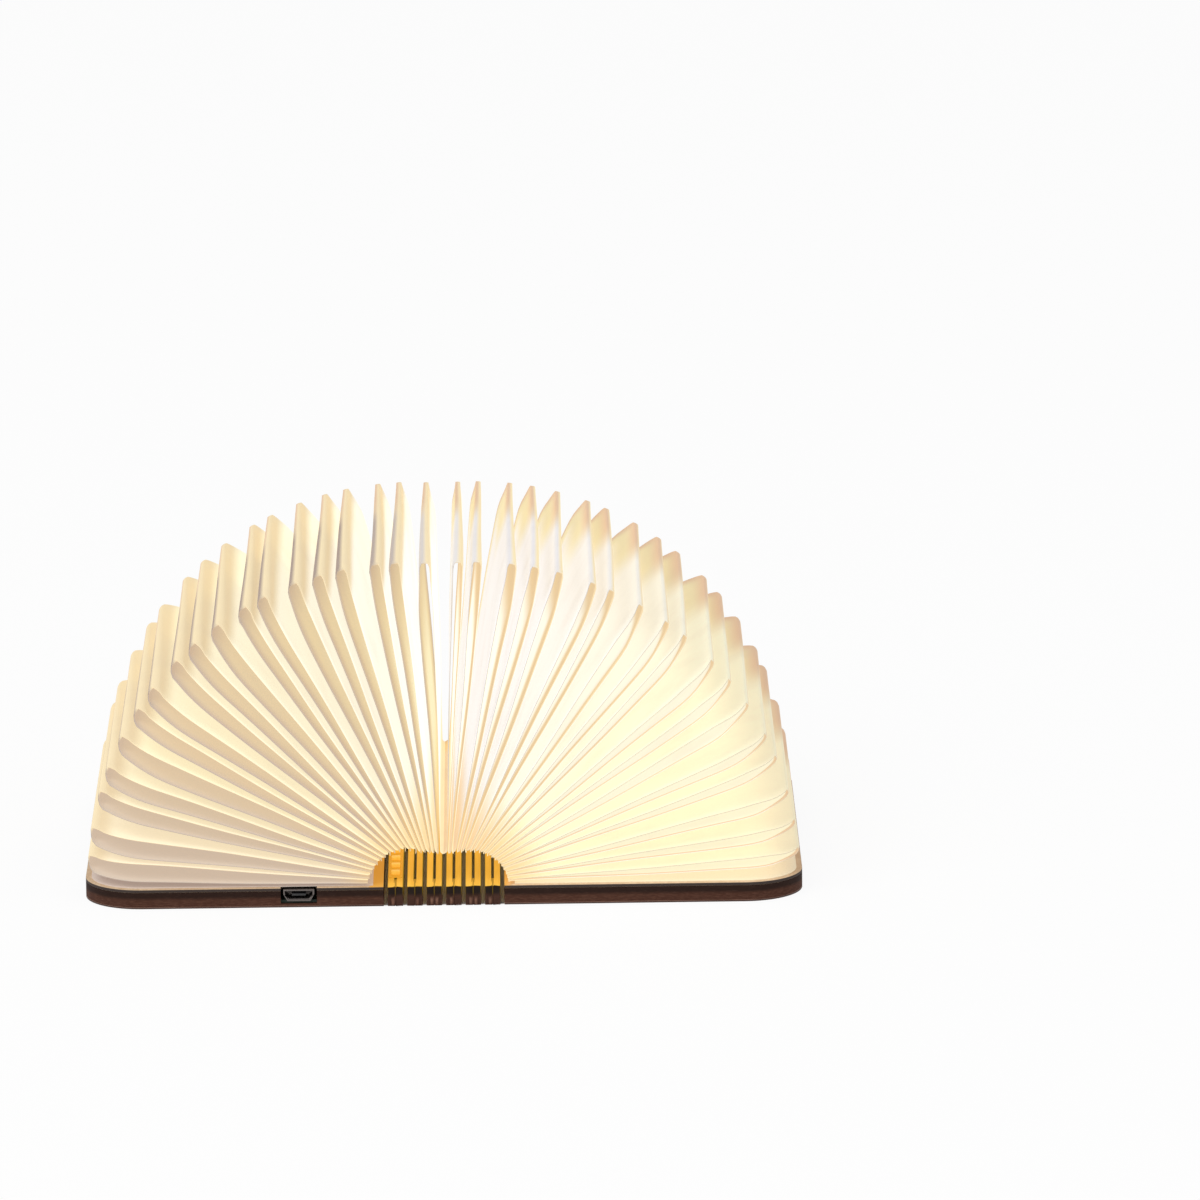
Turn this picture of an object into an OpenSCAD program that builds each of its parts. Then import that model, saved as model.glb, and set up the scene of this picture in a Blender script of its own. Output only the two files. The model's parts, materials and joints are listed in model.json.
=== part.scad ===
// Folding book lamp, lying open and flat on a table.
// X runs across the open book, Y goes from the front edge to the back, Z is up.
// The origin is on the table, under the middle of the spine.
// Two wooden covers are joined by a spine of wooden slats. A pleated paper block is
// pasted to both covers and stands up as a half round fan over a strip of LEDs.

/* [Covers] */
// Width of one cover, from its outermost spine fold to its fore edge
cover_w = 77.5; // [72:0.5:90]
// Depth of the book, from its front edge to its back edge
cover_depth = 122; // [116:1:150]
// Radius of the covers' outer corners
corner_r = 15; // [10:0.5:20]
// Thickness of the wooden board in a cover
board_t = 3.8; // [3.7:0.1:5]
// Thickness of the walnut veneer under the board
veneer_t = 0.5; // [0.3:0.1:0.8]
// Thickness of the lining card over the board
liner_t = 0.8; // [0.6:0.1:1.2]

/* [Spine] */
// Distance from one spine fold to the next
slat_pitch = 5; // [4.8:0.1:5.6]
// Width of the cut between two slats
slat_gap = 1; // [0.9:0.05:1.2]
// Depth of the fold axes under the spine's inner face
fold_depth = 1.5; // [1.3:0.1:1.6]
// Length of the wooden bridge that crosses each cut at mid depth
bridge_l = 8; // [6:0.5:12]
// Radius of the round web in the middle of a bridge
web_r = 0.35; // [0.3:0.01:0.36]
// Width of the slot inside each slat
slot_w = 0.6; // [0.4:0.1:0.8]
// Length of solid wood at each end of a slat's slot
slot_end = 8; // [6:0.5:12]

/* [Paper] */
// Thickness of a pleat when the book is shut
leaf_t = 0.3; // [0.2:0.02:0.32]
// Height of the fan's top above the table
fan_h = 87.4; // [86.5:0.1:88.5]
// Distance that the paper stays inside the covers' fore edges when the book is shut
tip_margin = 0.5; // [0.3:0.1:2]
// Distance that the paper stays inside the covers' front and back edges
side_margin = 0.8; // [0.5:0.1:3]
// Radius of the pleats' outer corners
leaf_corner_r = 14.5; // [10:0.5:18]
// Distance from the fan's fold line to the inner edge of the pleats
leaf_root = 7.8; // [7.4:0.1:9]
// Thickness of the end sheet pasted on each cover
end_sheet_t = 0.25; // [0.15:0.05:0.3]
// Distance that an end sheet stays inside the cover's edges
sheet_margin = 1.5; // [1:0.1:4]
// Distance from the middle of the spine to an end sheet's inner edge
sheet_root = 18.2; // [17.5:0.1:24]
// Widening of the pleats' spacing towards the covers, in degrees
spread_deg = 3; // [0:0.5:4]
// Natural unevenness of the pleats, in degrees
uneven_deg = 0.7; // [0:0.1:0.9]

/* [Battery] */
// Size of the flat battery cell across the cover
battery_w = 48; // [30:1:50]
// Size of the battery cell from front to back
battery_l = 60; // [40:1:62]
// Thickness of the battery cell
battery_t = 3; // [2:0.1:3.1]
// Clearance round the battery in its pocket
battery_gap = 0.5; // [0.3:0.1:1]
// Distance from the spine's middle to the battery's middle
battery_x = 52; // [50:0.5:54]
// Distance of the battery's middle behind the book's middle
battery_y = 8; // [4:1:10]
// Diameter of one battery lead
lead_d = 1; // [0.6:0.1:1.2]
// Distance between the two battery leads
lead_pitch = 2.4; // [2:0.1:3]

/* [Charging] */
// Distance from the spine's middle to the charging inlet's middle
usb_x = 37.3; // [36:0.1:39]
// Outer width of the inlet's shell
usb_w = 7.6; // [7.4:0.1:8]
// Outer height of the inlet's shell
usb_h = 2.7; // [2.5:0.1:2.8]
// Depth of the inlet's shell
usb_l = 5.6; // [5:0.1:6.5]
// Wall of the inlet's shell
usb_wall = 0.3; // [0.2:0.05:0.4]
// Width that the inlet's lips flare out on each side
flare = 0.35; // [0.2:0.05:0.4]
// Length of the flared lips
flare_l = 0.8; // [0.5:0.1:1]
// Distance from the cover's front edge back to the inlet's mouth
usb_recess = 0.3; // [0.1:0.1:0.8]
// Thickness of the inlet's plastic tongue
tongue_t = 0.6; // [0.5:0.05:0.8]
// Width of the control board
pcb_w = 26; // [20:1:28]
// Depth of the control board
pcb_l = 16; // [14:1:18]
// Thickness of the control board
pcb_t = 0.8; // [0.6:0.1:1]
// Clearance round the board and the inlet in their pocket
pcb_gap = 0.5; // [0.3:0.1:1]

/* [Light] */
// Width of the flexible LED strip
strip_w = 3.4; // [2.8:0.1:3.5]
// Length of the LED strip
strip_l = 104; // [90:1:110]
// Thickness of the LED strip
strip_t = 0.25; // [0.15:0.05:0.3]
// Number of LEDs on the strip
led_count = 14; // [8:1:16]
// Length of one LED along the strip
led_l = 2.8; // [2:0.1:3.5]
// Width of one LED across the strip
led_w = 2.2; // [1.6:0.1:2.4]
// Height of one LED
led_h = 0.7; // [0.5:0.1:0.8]

/* [Magnets] */
// Diameter of the magnets
magnet_d = 6; // [5:0.5:6]
// Thickness of the magnets
magnet_t = 2; // [1.5:0.1:2.5]
// Clearance round a magnet in its pocket
magnet_gap = 0.1; // [0.05:0.05:0.3]
// Distance from a corner magnet's middle to the cover's edges
magnet_inset = 11; // [10:0.5:13]

/* [Hidden] */
$fn = 64;
slat_count = 6;
leaf_count = 36;
half_count = leaf_count / 2;
eps = 0.01;

// Stack of one cover, from the table up
board_z = veneer_t;
liner_z = board_z + board_t;
cover_t = liner_z + liner_t;
fold_z = cover_t - fold_depth;
pocket_floor_t = 0.4;
pocket_z = board_z + pocket_floor_t;

// Spine
fold_x = slat_pitch * slat_count / 2;
cover_edge_x = fold_x + slat_gap / 2;
fore_edge_x = fold_x + cover_w;
slat_w = slat_pitch - slat_gap;
front_y = -cover_depth / 2;

// The spine's folds bend by equal shares, and by half a share at the two covers.
fold_step = 180 / slat_count;
// Distance between the two outermost folds when the book is shut
shut_span = slat_pitch * sum_sin(slat_count);
// Height of the shut book's middle plane
shut_mid_z = fold_z + shut_span / 2;

// The pleats turn about one line over each cover. Two facts place it: the middle pleat
// stands upright over the spine's middle when the book is open, with its tip at fan_h, and
// lies level at half height when the book is shut, with its tip just inside the fore edge.
shut_tip = fore_edge_x - tip_margin;
pole_z = (fan_h - shut_tip + shut_mid_z) / 2;
pole_x = shut_mid_z - pole_z;
leaf_tip = shut_tip - pole_x;
leaf_depth = cover_depth - 2 * side_margin;

// Heights of the pleats over the middle plane when the book is shut
sheet_clear = 0.3;
middle_clear = 0.45;
block_half = shut_mid_z - cover_t - end_sheet_t - sheet_clear;
leaf_pitch = (block_half - middle_clear) / half_count;

// Charging inlet and control board
usb_front_y = front_y + usb_recess;
pcb_front_y = usb_front_y + flare_l + 0.2;
pcb_back_y = pcb_front_y + pcb_l;
pcb_top_z = pocket_z + pcb_t;
solder_gap = 0.05;
usb_mid_z = pcb_top_z + solder_gap + usb_h / 2;
notch_l = flare_l + usb_recess + 1.2;
relief_top_z = usb_mid_z + usb_h / 2 + pcb_gap / 2;

// Parts on the control board
part_h = 1.1;
charger_w = 4;
coil_w = 3.6;
coil_h = 1.8;
coil_y = pcb_back_y - 12;
charger_y = pcb_back_y - 7;
charger_x = usb_x + 8;
sensor_w = 2.8;
capacitor_w = 1.2;
capacitor_l = 2;

// Battery and its leads
battery_front_y = battery_y - battery_l / 2;
lead_z = pcb_top_z + solder_gap + lead_d / 2;
lead_end_y = pcb_back_y - 2;
lead_x = usb_x + 4;
channel_w = 8;

// LED strip, on the slat next to the left cover
strip_x = -fold_x + slat_pitch / 2;
led_pitch = strip_l / led_count;

// Magnets
magnet_z = liner_z - magnet_t - magnet_gap;
magnet_x = fore_edge_x - magnet_inset;
magnet_y = cover_depth / 2 - magnet_inset;
sensor_x = usb_x - 8;
sensor_y = pcb_back_y - 3;

walnut = [0.52, 0.34, 0.26];
burnt = [0.24, 0.14, 0.11];
lining = [0.82, 0.68, 0.50];
paper = [0.97, 0.92, 0.82];

function sum_sin(n) = n == 0 ? 0 : sum_sin(n - 1) + sin((n - 0.5) * fold_step);
function two_digits(i) = str(i < 10 ? "0" : "", i);
function slat_name(i) = str("spine_slat_", i);
function leaf_name(i) = str("paper_leaf_", two_digits(i));

// Angle of a pleat over the left cover when the book is open
function leaf_angle(i) =
    let (turn = 360 * (i - 0.5) / leaf_count)
    turn / 2 + spread_deg * sin(turn) + uneven_deg * sin(137.5 * i + 40);

// Height of a pleat of the left half over the fan's fold line when the book is shut
function leaf_rise(k) = shut_mid_z - block_half + (k - 0.5) * leaf_pitch - pole_z;

// Flat plate whose two far corners are round. It runs from x = -far to x = -near.
module page_outline(near, far, depth, r) {
    translate([-far + r, -depth / 2]) square([far - r - near, depth]);
    translate([-far, -depth / 2 + r]) square([2 * r, depth - 2 * r]);
    for (side = [-1, 1])
        translate([-far + r, side * (depth / 2 - r)]) circle(r = r);
}

// One layer of a left cover
module cover_layer(z, t) {
    translate([0, 0, z])
        linear_extrude(t)
            page_outline(cover_edge_x, fore_edge_x, cover_depth, corner_r);
}

// The round web and its root, which bridge the cut to the right of x
module fold_web(x, root) {
    translate([x, bridge_l / 2, fold_z]) rotate([90, 0, 0]) cylinder(r = web_r, h = bridge_l);
    translate([x - root, -bridge_l / 2, fold_z - web_r]) cube([root, bridge_l, 2 * web_r]);
}

// Block with its middle at x and y, standing on z
module block(x, y, z, w, l, h) {
    translate([x - w / 2, y - l / 2, z]) cube([w, l, h]);
}

module magnet_pocket(x, y) {
    translate([x, y, magnet_z])
        cylinder(d = magnet_d + 2 * magnet_gap, h = liner_z - magnet_z + eps);
}

module magnet(x, y) {
    translate([x, y, magnet_z]) cylinder(d = magnet_d, h = magnet_t);
}

module corner_places() {
    for (side = [-1, 1])
        translate([0, side * magnet_y, 0]) children();
}

// Opening in the cover's front edge that the inlet looks out of
module usb_cut(z, h) {
    w = usb_w + 2 * (flare + pcb_gap);
    translate([-usb_x - w / 2, front_y - 1, z]) cube([w, notch_l + 1, h]);
}

// Hollow under the lining card, over the inlet's shell
module shell_relief() {
    block(-usb_x, usb_front_y + usb_l / 2, liner_z - 1,
          usb_w + 2 * pcb_gap, usb_l + 2 * pcb_gap, relief_top_z - liner_z + 1);
}

module left_cover_board() {
    pocket_h = liner_z - pocket_z + eps;
    channel_l = battery_front_y - pcb_back_y + 2;
    color(burnt) {
        difference() {
            cover_layer(board_z, board_t);
            block(-battery_x, battery_y, pocket_z,
                  battery_w + 2 * battery_gap, battery_l + 2 * battery_gap, pocket_h);
            translate([-usb_x - pcb_w / 2 - pcb_gap, pcb_front_y - pcb_gap, pocket_z])
                cube([pcb_w + 2 * pcb_gap, pcb_l + 2 * pcb_gap, pocket_h]);
            block(-lead_x, pcb_back_y - 1 + channel_l / 2, pocket_z,
                  channel_w, channel_l, pocket_h);
            usb_cut(pocket_z, pocket_h);
            corner_places() magnet_pocket(-magnet_x, 0);
        }
        fold_web(-fold_x, slat_gap / 2 + eps);
    }
}

module left_cover_veneer() {
    color(walnut) cover_layer(0, veneer_t);
}

module left_cover_liner() {
    color(lining)
        difference() {
            cover_layer(liner_z, liner_t);
            usb_cut(liner_z - 1, liner_t + 2);
            shell_relief();
        }
}

module end_sheet() {
    color(paper)
        translate([0, 0, cover_t])
            linear_extrude(end_sheet_t)
                page_outline(sheet_root, fore_edge_x - sheet_margin,
                             cover_depth - 2 * sheet_margin, corner_r - sheet_margin);
}

module left_end_sheet() {
    end_sheet();
}

module battery() {
    color("silver")
        block(-battery_x, battery_y, pocket_z, battery_w, battery_l, battery_t);
}

module battery_leads() {
    color("crimson")
        for (side = [-1, 1])
            translate([-lead_x + side * lead_pitch / 2, battery_front_y, lead_z])
                rotate([90, 0, 0])
                    cylinder(d = lead_d, h = battery_front_y - lead_end_y, $fn = 24);
}

module control_board() {
    color("darkgreen")
        block(-usb_x, pcb_front_y + pcb_l / 2, pocket_z, pcb_w, pcb_l, pcb_t);
}

// Charging chip, coil, magnetic switch and two capacitors
module board_parts() {
    color("dimgray") {
        block(-charger_x, charger_y, pcb_top_z, charger_w, charger_w, part_h);
        block(-charger_x, coil_y, pcb_top_z, coil_w, coil_w, coil_h);
        block(-sensor_x, sensor_y, pcb_top_z, sensor_w, sensor_w, part_h);
        for (side = [-1, 1])
            block(-usb_x + side * 1.5, charger_y, pcb_top_z, capacitor_w, capacitor_l, part_h);
    }
}

// Outline of the inlet's shell: wide at the top, with sloping shoulders below
module usb_outline(grow) {
    w = usb_w / 2 + grow;
    h = usb_h / 2 + grow;
    shoulder = usb_h * 0.45;
    polygon([[-w, h], [-w, h - shoulder], [-w + 1, -h], [w - 1, -h], [w, h - shoulder], [w, h]]);
}

module usb_body(grow, y, l) {
    translate([-usb_x, y + l, usb_mid_z]) rotate([90, 0, 0]) linear_extrude(l) usb_outline(grow);
}

module usb_shell() {
    back_wall = 0.4;
    color("lightgray")
        difference() {
            union() {
                usb_body(0, usb_front_y, usb_l);
                usb_body(flare / 2, usb_front_y, flare_l);
            }
            usb_body(-usb_wall, usb_front_y - 1, usb_l - back_wall + 1);
            usb_body(flare / 2 - usb_wall, usb_front_y - 1, flare_l - usb_wall + 1);
        }
}

module usb_tongue() {
    tongue_w = usb_w - 2 * usb_wall - 3.4;
    tongue_l = usb_l - flare_l - 0.4;
    color("black")
        block(-usb_x, usb_front_y + flare_l + tongue_l / 2, usb_mid_z - tongue_t / 2,
              tongue_w, tongue_l, tongue_t);
}

module left_magnets() {
    color("gainsboro") corner_places() magnet(-magnet_x, 0);
}

module right_cover_board() {
    color(burnt)
        difference() {
            mirror([1, 0, 0]) cover_layer(board_z, board_t);
            corner_places() magnet_pocket(magnet_x, 0);
            magnet_pocket(sensor_x, sensor_y);
        }
}

module right_cover_veneer() {
    color(walnut) mirror([1, 0, 0]) cover_layer(0, veneer_t);
}

module right_cover_liner() {
    color(lining) mirror([1, 0, 0]) cover_layer(liner_z, liner_t);
}

module right_end_sheet() {
    mirror([1, 0, 0]) end_sheet();
}

// Two corner magnets, and one over the magnetic switch when the book is shut
module right_magnets() {
    color("gainsboro") {
        corner_places() magnet(magnet_x, 0);
        magnet(sensor_x, sensor_y);
    }
}

module led_strip() {
    color("white") block(strip_x, 0, cover_t, strip_w, strip_l, strip_t);
}

module leds() {
    color("khaki")
        for (i = [1:led_count])
            block(strip_x, (i - (led_count + 1) / 2) * led_pitch, cover_t + strip_t,
                  led_w, led_l, led_h);
}

// A slat with its own slot, and the web that carries the next slat or the right cover
module spine_slat(i) {
    slat_x = -fold_x + (i - 0.5) * slat_pitch;
    color(burnt) {
        difference() {
            block(slat_x, 0, 0, slat_w, cover_depth, cover_t);
            block(slat_x, 0, -1, slot_w, cover_depth - 2 * slot_end, cover_t + 2);
        }
        fold_web(slat_x + slat_pitch / 2, slat_gap / 2 + eps);
    }
}

// A pleat of the left half, at its place in the open fan
module half_fan_leaf(k, angle) {
    translate([-pole_x, 0, pole_z])
        rotate([0, angle, 0])
            translate([0, 0, leaf_rise(k) - leaf_t / 2])
                linear_extrude(leaf_t)
                    page_outline(leaf_root, leaf_tip, leaf_depth, leaf_corner_r);
}

module paper_leaf(i) {
    color(paper)
        if (i <= half_count) half_fan_leaf(i, leaf_angle(i));
        else mirror([1, 0, 0]) half_fan_leaf(leaf_count + 1 - i, 180 - leaf_angle(i));
}

left_cover_board();
left_cover_veneer();
left_cover_liner();
left_end_sheet();
battery();
battery_leads();
control_board();
board_parts();
usb_shell();
usb_tongue();
left_magnets();
right_cover_board();
right_cover_veneer();
right_cover_liner();
right_end_sheet();
right_magnets();
led_strip();
leds();
for (i = [1:slat_count])
    spine_slat(i);
for (i = [1:leaf_count])
    paper_leaf(i);
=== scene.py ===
"""Folding book lamp: the detailed pieces, finishes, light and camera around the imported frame.

The lamp lies open and flat. X runs across the open book, Y from the front edge to the
back, Z up, in metres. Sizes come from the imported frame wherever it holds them.
"""

import json
import logging
import math
from dataclasses import dataclass, field
from enum import Enum
from typing import Sequence

import bmesh
import bpy
from mathutils import Matrix, Vector

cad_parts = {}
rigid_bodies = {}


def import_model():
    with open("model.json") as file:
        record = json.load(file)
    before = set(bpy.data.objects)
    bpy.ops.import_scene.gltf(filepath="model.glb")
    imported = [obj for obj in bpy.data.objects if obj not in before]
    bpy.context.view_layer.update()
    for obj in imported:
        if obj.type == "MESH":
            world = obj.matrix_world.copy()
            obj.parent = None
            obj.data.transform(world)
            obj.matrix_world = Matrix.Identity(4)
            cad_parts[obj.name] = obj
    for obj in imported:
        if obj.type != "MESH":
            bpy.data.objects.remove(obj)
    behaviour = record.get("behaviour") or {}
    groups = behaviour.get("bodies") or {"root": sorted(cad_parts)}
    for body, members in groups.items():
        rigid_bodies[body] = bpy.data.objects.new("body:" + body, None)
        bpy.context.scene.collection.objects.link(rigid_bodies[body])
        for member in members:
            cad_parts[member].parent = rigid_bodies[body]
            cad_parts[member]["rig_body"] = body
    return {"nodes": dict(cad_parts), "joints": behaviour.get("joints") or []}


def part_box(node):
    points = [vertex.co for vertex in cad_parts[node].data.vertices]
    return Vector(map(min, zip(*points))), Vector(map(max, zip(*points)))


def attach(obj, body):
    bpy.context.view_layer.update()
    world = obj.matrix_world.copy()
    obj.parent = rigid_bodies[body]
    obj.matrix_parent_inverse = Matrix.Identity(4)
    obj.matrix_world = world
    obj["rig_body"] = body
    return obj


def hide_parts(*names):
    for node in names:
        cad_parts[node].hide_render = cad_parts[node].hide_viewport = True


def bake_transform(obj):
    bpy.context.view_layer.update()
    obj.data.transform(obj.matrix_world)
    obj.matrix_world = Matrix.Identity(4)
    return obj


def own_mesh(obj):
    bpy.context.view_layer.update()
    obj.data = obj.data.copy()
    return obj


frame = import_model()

LOG = logging.getLogger("book_lamp")
MM = 0.001

Colour = tuple[float, float, float]
Span = tuple[float, float]
Stops = Sequence[tuple[float, Colour]]
Socket = bpy.types.NodeSocket
Mesh = bmesh.types.BMesh
Feed = float | Sequence[float] | Socket

BLACK: Colour = (0.0, 0.0, 0.0)
WHITE: Colour = (1.0, 1.0, 1.0)


class Mix(Enum):
    """Ways to lay one colour over another."""

    PLAIN = "MIX"
    DARKEN = "MULTIPLY"


class Side(Enum):
    """The two halves of the open book, with the sign of X on each."""

    LEFT = -1
    RIGHT = 1

    @property
    def word(self) -> str:
        """The side's name as it stands in node names."""
        return self.name.lower()


# Shader graphs


class Graph:
    """A material's node graph, with short calls for the nodes that the finishes share."""

    def __init__(self, name: str) -> None:
        """Starts a material with one Principled shader.

        Args:
            name: The material's name.
        """
        self.material = bpy.data.materials.new(name)
        self.material.use_nodes = True
        self.tree = self.material.node_tree
        self.tree.nodes.clear()
        self.shader = self.node("ShaderNodeBsdfPrincipled")
        output = self.node("ShaderNodeOutputMaterial")
        self.tree.links.new(self.shader.outputs["BSDF"], output.inputs["Surface"])

    def node(self, kind: str, **settings: object) -> bpy.types.Node:
        """Adds a node and sets its properties.

        Args:
            kind: Blender's name for the node type.
            **settings: Properties of the node.

        Returns:
            The new node.
        """
        made = self.tree.nodes.new(kind)
        for key, value in settings.items():
            setattr(made, key, value)
        return made

    def feed(self, socket: Socket, value: Feed) -> None:
        """Links a socket, or sets it to a plain value.

        Args:
            socket: The input to fill.
            value: Another node's output, a number or a colour.
        """
        if isinstance(value, Socket):
            self.tree.links.new(value, socket)
        elif isinstance(value, (int, float)):
            socket.default_value = value
        else:
            size = len(socket.default_value)
            socket.default_value = (*value, 1.0)[:size] if size > len(value) else tuple(value)

    def set(self, **values: Feed) -> None:
        """Fills the shader's own inputs.

        Args:
            **values: Values by socket name, with underscores for the spaces.
        """
        for key, value in values.items():
            self.feed(self.shader.inputs[key.replace("_", " ")], value)

    def place(self, scale: Sequence[float] = (1, 1, 1)) -> Socket:
        """The surface point in object coordinates.

        Args:
            scale: Stretch along the three axes.

        Returns:
            The point, as a vector socket.
        """
        coordinates = self.node("ShaderNodeTexCoord")
        mapping = self.node("ShaderNodeMapping")
        self.feed(mapping.inputs["Vector"], coordinates.outputs["Object"])
        self.feed(mapping.inputs["Scale"], scale)
        return mapping.outputs["Vector"]

    def split(self, vector: Socket) -> tuple[Socket, ...]:
        """Takes a vector apart.

        Args:
            vector: The vector.

        Returns:
            Its three parts.
        """
        parts = self.node("ShaderNodeSeparateXYZ")
        self.feed(parts.inputs["Vector"], vector)
        return tuple(parts.outputs)

    def facing(self) -> tuple[Socket, ...]:
        """The surface normal's three parts, in object coordinates."""
        return self.split(self.node("ShaderNodeTexCoord").outputs["Normal"])

    def attribute(self, name: str) -> Socket:
        """A number that the mesh carries at each point."""
        return self.node("ShaderNodeAttribute", attribute_name=name).outputs["Fac"]

    def math(self, kind: str, a: Feed, b: Feed = 0.0, clamp: bool = False) -> Socket:
        """One step of arithmetic.

        Args:
            kind: Blender's name for the operation.
            a: The first value.
            b: The second value.
            clamp: Whether the result stays between 0 and 1.

        Returns:
            The result.
        """
        made = self.node("ShaderNodeMath", operation=kind, use_clamp=clamp)
        self.feed(made.inputs[0], a)
        self.feed(made.inputs[1], b)
        return made.outputs[0]

    def times(self, a: Feed, b: Feed) -> Socket:
        """The product of two values."""
        return self.math("MULTIPLY", a, b)

    def plus(self, a: Feed, b: Feed) -> Socket:
        """The sum of two values."""
        return self.math("ADD", a, b)

    def one_less(self, value: Feed) -> Socket:
        """What a value lacks to 1."""
        return self.math("SUBTRACT", 1.0, value)

    def ease(self, value: Feed, low: float, high: float) -> Socket:
        """A smooth step.

        Args:
            value: The value that it follows.
            low: Where the step is 0.
            high: Where it is 1.

        Returns:
            The step.
        """
        made = self.node("ShaderNodeMapRange", interpolation_type="SMOOTHSTEP")
        self.feed(made.inputs["Value"], value)
        self.feed(made.inputs["From Min"], low)
        self.feed(made.inputs["From Max"], high)
        return made.outputs["Result"]

    def noise(self, scale: float, stretch: Sequence[float] = (1, 1, 1), detail: float = 3.0,
              rough: float = 0.5, distort: float = 0.0) -> Socket:
        """Soft random variation from 0 to 1.

        Args:
            scale: Waves per metre.
            stretch: Scale of the pattern along each axis.
            detail: Number of finer layers.
            rough: Strength of the finer layers.
            distort: How far the pattern is pulled about.

        Returns:
            The pattern.
        """
        made = self.node("ShaderNodeTexNoise")
        self.feed(made.inputs["Vector"], self.place(stretch))
        self.feed(made.inputs["Scale"], scale)
        self.feed(made.inputs["Detail"], detail)
        self.feed(made.inputs["Roughness"], rough)
        self.feed(made.inputs["Distortion"], distort)
        return made.outputs["Fac"]

    def lay(self, share: Feed, under: Feed, over: Feed, way: Mix = Mix.PLAIN) -> Socket:
        """Lays one colour over another.

        Args:
            share: How much of the upper colour shows.
            under: The lower colour.
            over: The upper colour.
            way: How the two meet.

        Returns:
            The mixed colour.
        """
        made = self.node("ShaderNodeMix", data_type="RGBA", blend_type=way.value)
        self.feed(made.inputs[0], share)
        self.feed(made.inputs[6], under)
        self.feed(made.inputs[7], over)
        return made.outputs[2]

    def ramp(self, value: Feed, stops: Stops) -> Socket:
        """A colour that changes with a value.

        Args:
            value: From 0 to 1.
            stops: Places from 0 to 1, each with its colour.

        Returns:
            The colour.
        """
        made = self.node("ShaderNodeValToRGB")
        points = made.color_ramp.elements
        while len(points) < len(stops):
            points.new(0.5)
        for point, (where, _) in zip(points, stops):
            point.position = where
        for point, (_, colour) in zip(points, stops):
            point.color = (*colour, 1.0)
        self.feed(made.inputs["Fac"], value)
        return made.outputs["Color"]

    def bump(self, height: Socket, depth: float, strength: float = 1.0) -> None:
        """Roughens the surface.

        Args:
            height: The relief, from 0 to 1.
            depth: Depth of the relief in metres.
            strength: Share of the relief that shows.
        """
        made = self.node("ShaderNodeBump")
        self.feed(made.inputs["Height"], height)
        self.feed(made.inputs["Distance"], depth)
        self.feed(made.inputs["Strength"], strength)
        self.set(Normal=made.outputs["Normal"])


# Finishes


@dataclass(frozen=True)
class Finish:
    """A surface finish. Each one makes its material once."""

    name: str
    slot: str

    def paint(self, graph: Graph) -> None:
        """Fills the graph. Each finish has its own."""
        raise NotImplementedError

    def material(self) -> bpy.types.Material:
        """The finish's material, made at its first use."""
        known = bpy.data.materials.get(self.name)
        if known is not None:
            return known
        graph = Graph(self.name)
        self.paint(graph)
        return graph.material


def cut_marks(graph: Graph) -> Socket:
    """The fine upright marks that a laser leaves in wood."""
    return graph.noise(700.0, (1.0, 1.0, 6.0), 3.0, 0.6)


def paper_fibres(graph: Graph) -> Socket:
    """Long fibres of tough paper, which also roughen it."""
    fibres = graph.noise(1500.0, detail=5.0, rough=0.7)
    graph.bump(fibres, 0.00005, 0.45)
    return fibres


@dataclass(frozen=True)
class WalnutFinish(Finish):
    """Oiled walnut veneer, its grain along the spine."""

    pale: Colour = (0.50, 0.27, 0.19)
    middle: Colour = (0.38, 0.19, 0.13)
    dark: Colour = (0.24, 0.11, 0.075)
    burnt: Colour = (0.045, 0.020, 0.013)
    bands_per_m: float = 55.0
    streaks_per_m: float = 420.0
    pores_per_m: float = 1900.0
    band_share: float = 0.55
    pore_depth: float = 0.45

    def paint(self, graph: Graph) -> None:
        """Fine streaks over slow bands, with short open pores."""
        bands = graph.noise(self.bands_per_m, (1.0, 0.12, 1.0), 2.0, 0.5, 0.8)
        streaks = graph.noise(self.streaks_per_m, (1.0, 0.045, 1.0), 5.0, 0.65, 0.3)
        pores = graph.noise(self.pores_per_m, (1.0, 0.06, 1.0), 2.0, 0.5)
        tone = graph.plus(graph.times(bands, self.band_share),
                          graph.times(streaks, 1 - self.band_share))
        wood = graph.ramp(tone, [(0.36, self.dark), (0.50, self.middle), (0.64, self.pale)])
        pit = graph.ease(pores, 0.60, 0.70)
        face = graph.lay(graph.times(pit, self.pore_depth), wood, self.dark)
        flat = graph.ease(graph.math("ABSOLUTE", graph.facing()[2]), 0.4, 0.8)
        graph.set(Base_Color=graph.lay(flat, self.burnt, face))
        graph.set(Roughness=graph.ease(streaks, -0.6, 1.5), Specular_IOR_Level=0.4)
        graph.bump(graph.math("SUBTRACT", streaks, pit), 0.00004, 0.7)


@dataclass(frozen=True)
class BurntBoardFinish(Finish):
    """Laser cut board edge: near black on top, redder brown below, with fine cut marks."""

    char: Colour = (0.020, 0.008, 0.005)
    pale_char: Colour = (0.035, 0.018, 0.013)
    brown: Colour = (0.060, 0.022, 0.013)
    pale_brown: Colour = (0.10, 0.044, 0.028)
    change_z: Span = (0.0023, 0.0035)
    smear: float = 0.6 * MM

    def paint(self, graph: Graph) -> None:
        """Two tones by height, broken by streaks along the edge."""
        height = graph.split(graph.place())[2]
        smear = graph.noise(260.0, (1.0, 1.0, 3.0), 4.0, 0.6)
        marks = cut_marks(graph)
        upper = graph.ease(graph.plus(height, graph.times(smear, self.smear)), *self.change_z)
        lower = graph.lay(graph.ease(marks, 0.35, 0.75), self.brown, self.pale_brown)
        soot = graph.lay(graph.ease(marks, 0.5, 0.8), self.char, self.pale_char)
        graph.set(Base_Color=graph.lay(upper, lower, soot), Roughness=0.8,
                  Specular_IOR_Level=0.15)
        graph.bump(marks, 0.00006, 0.6)


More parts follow.
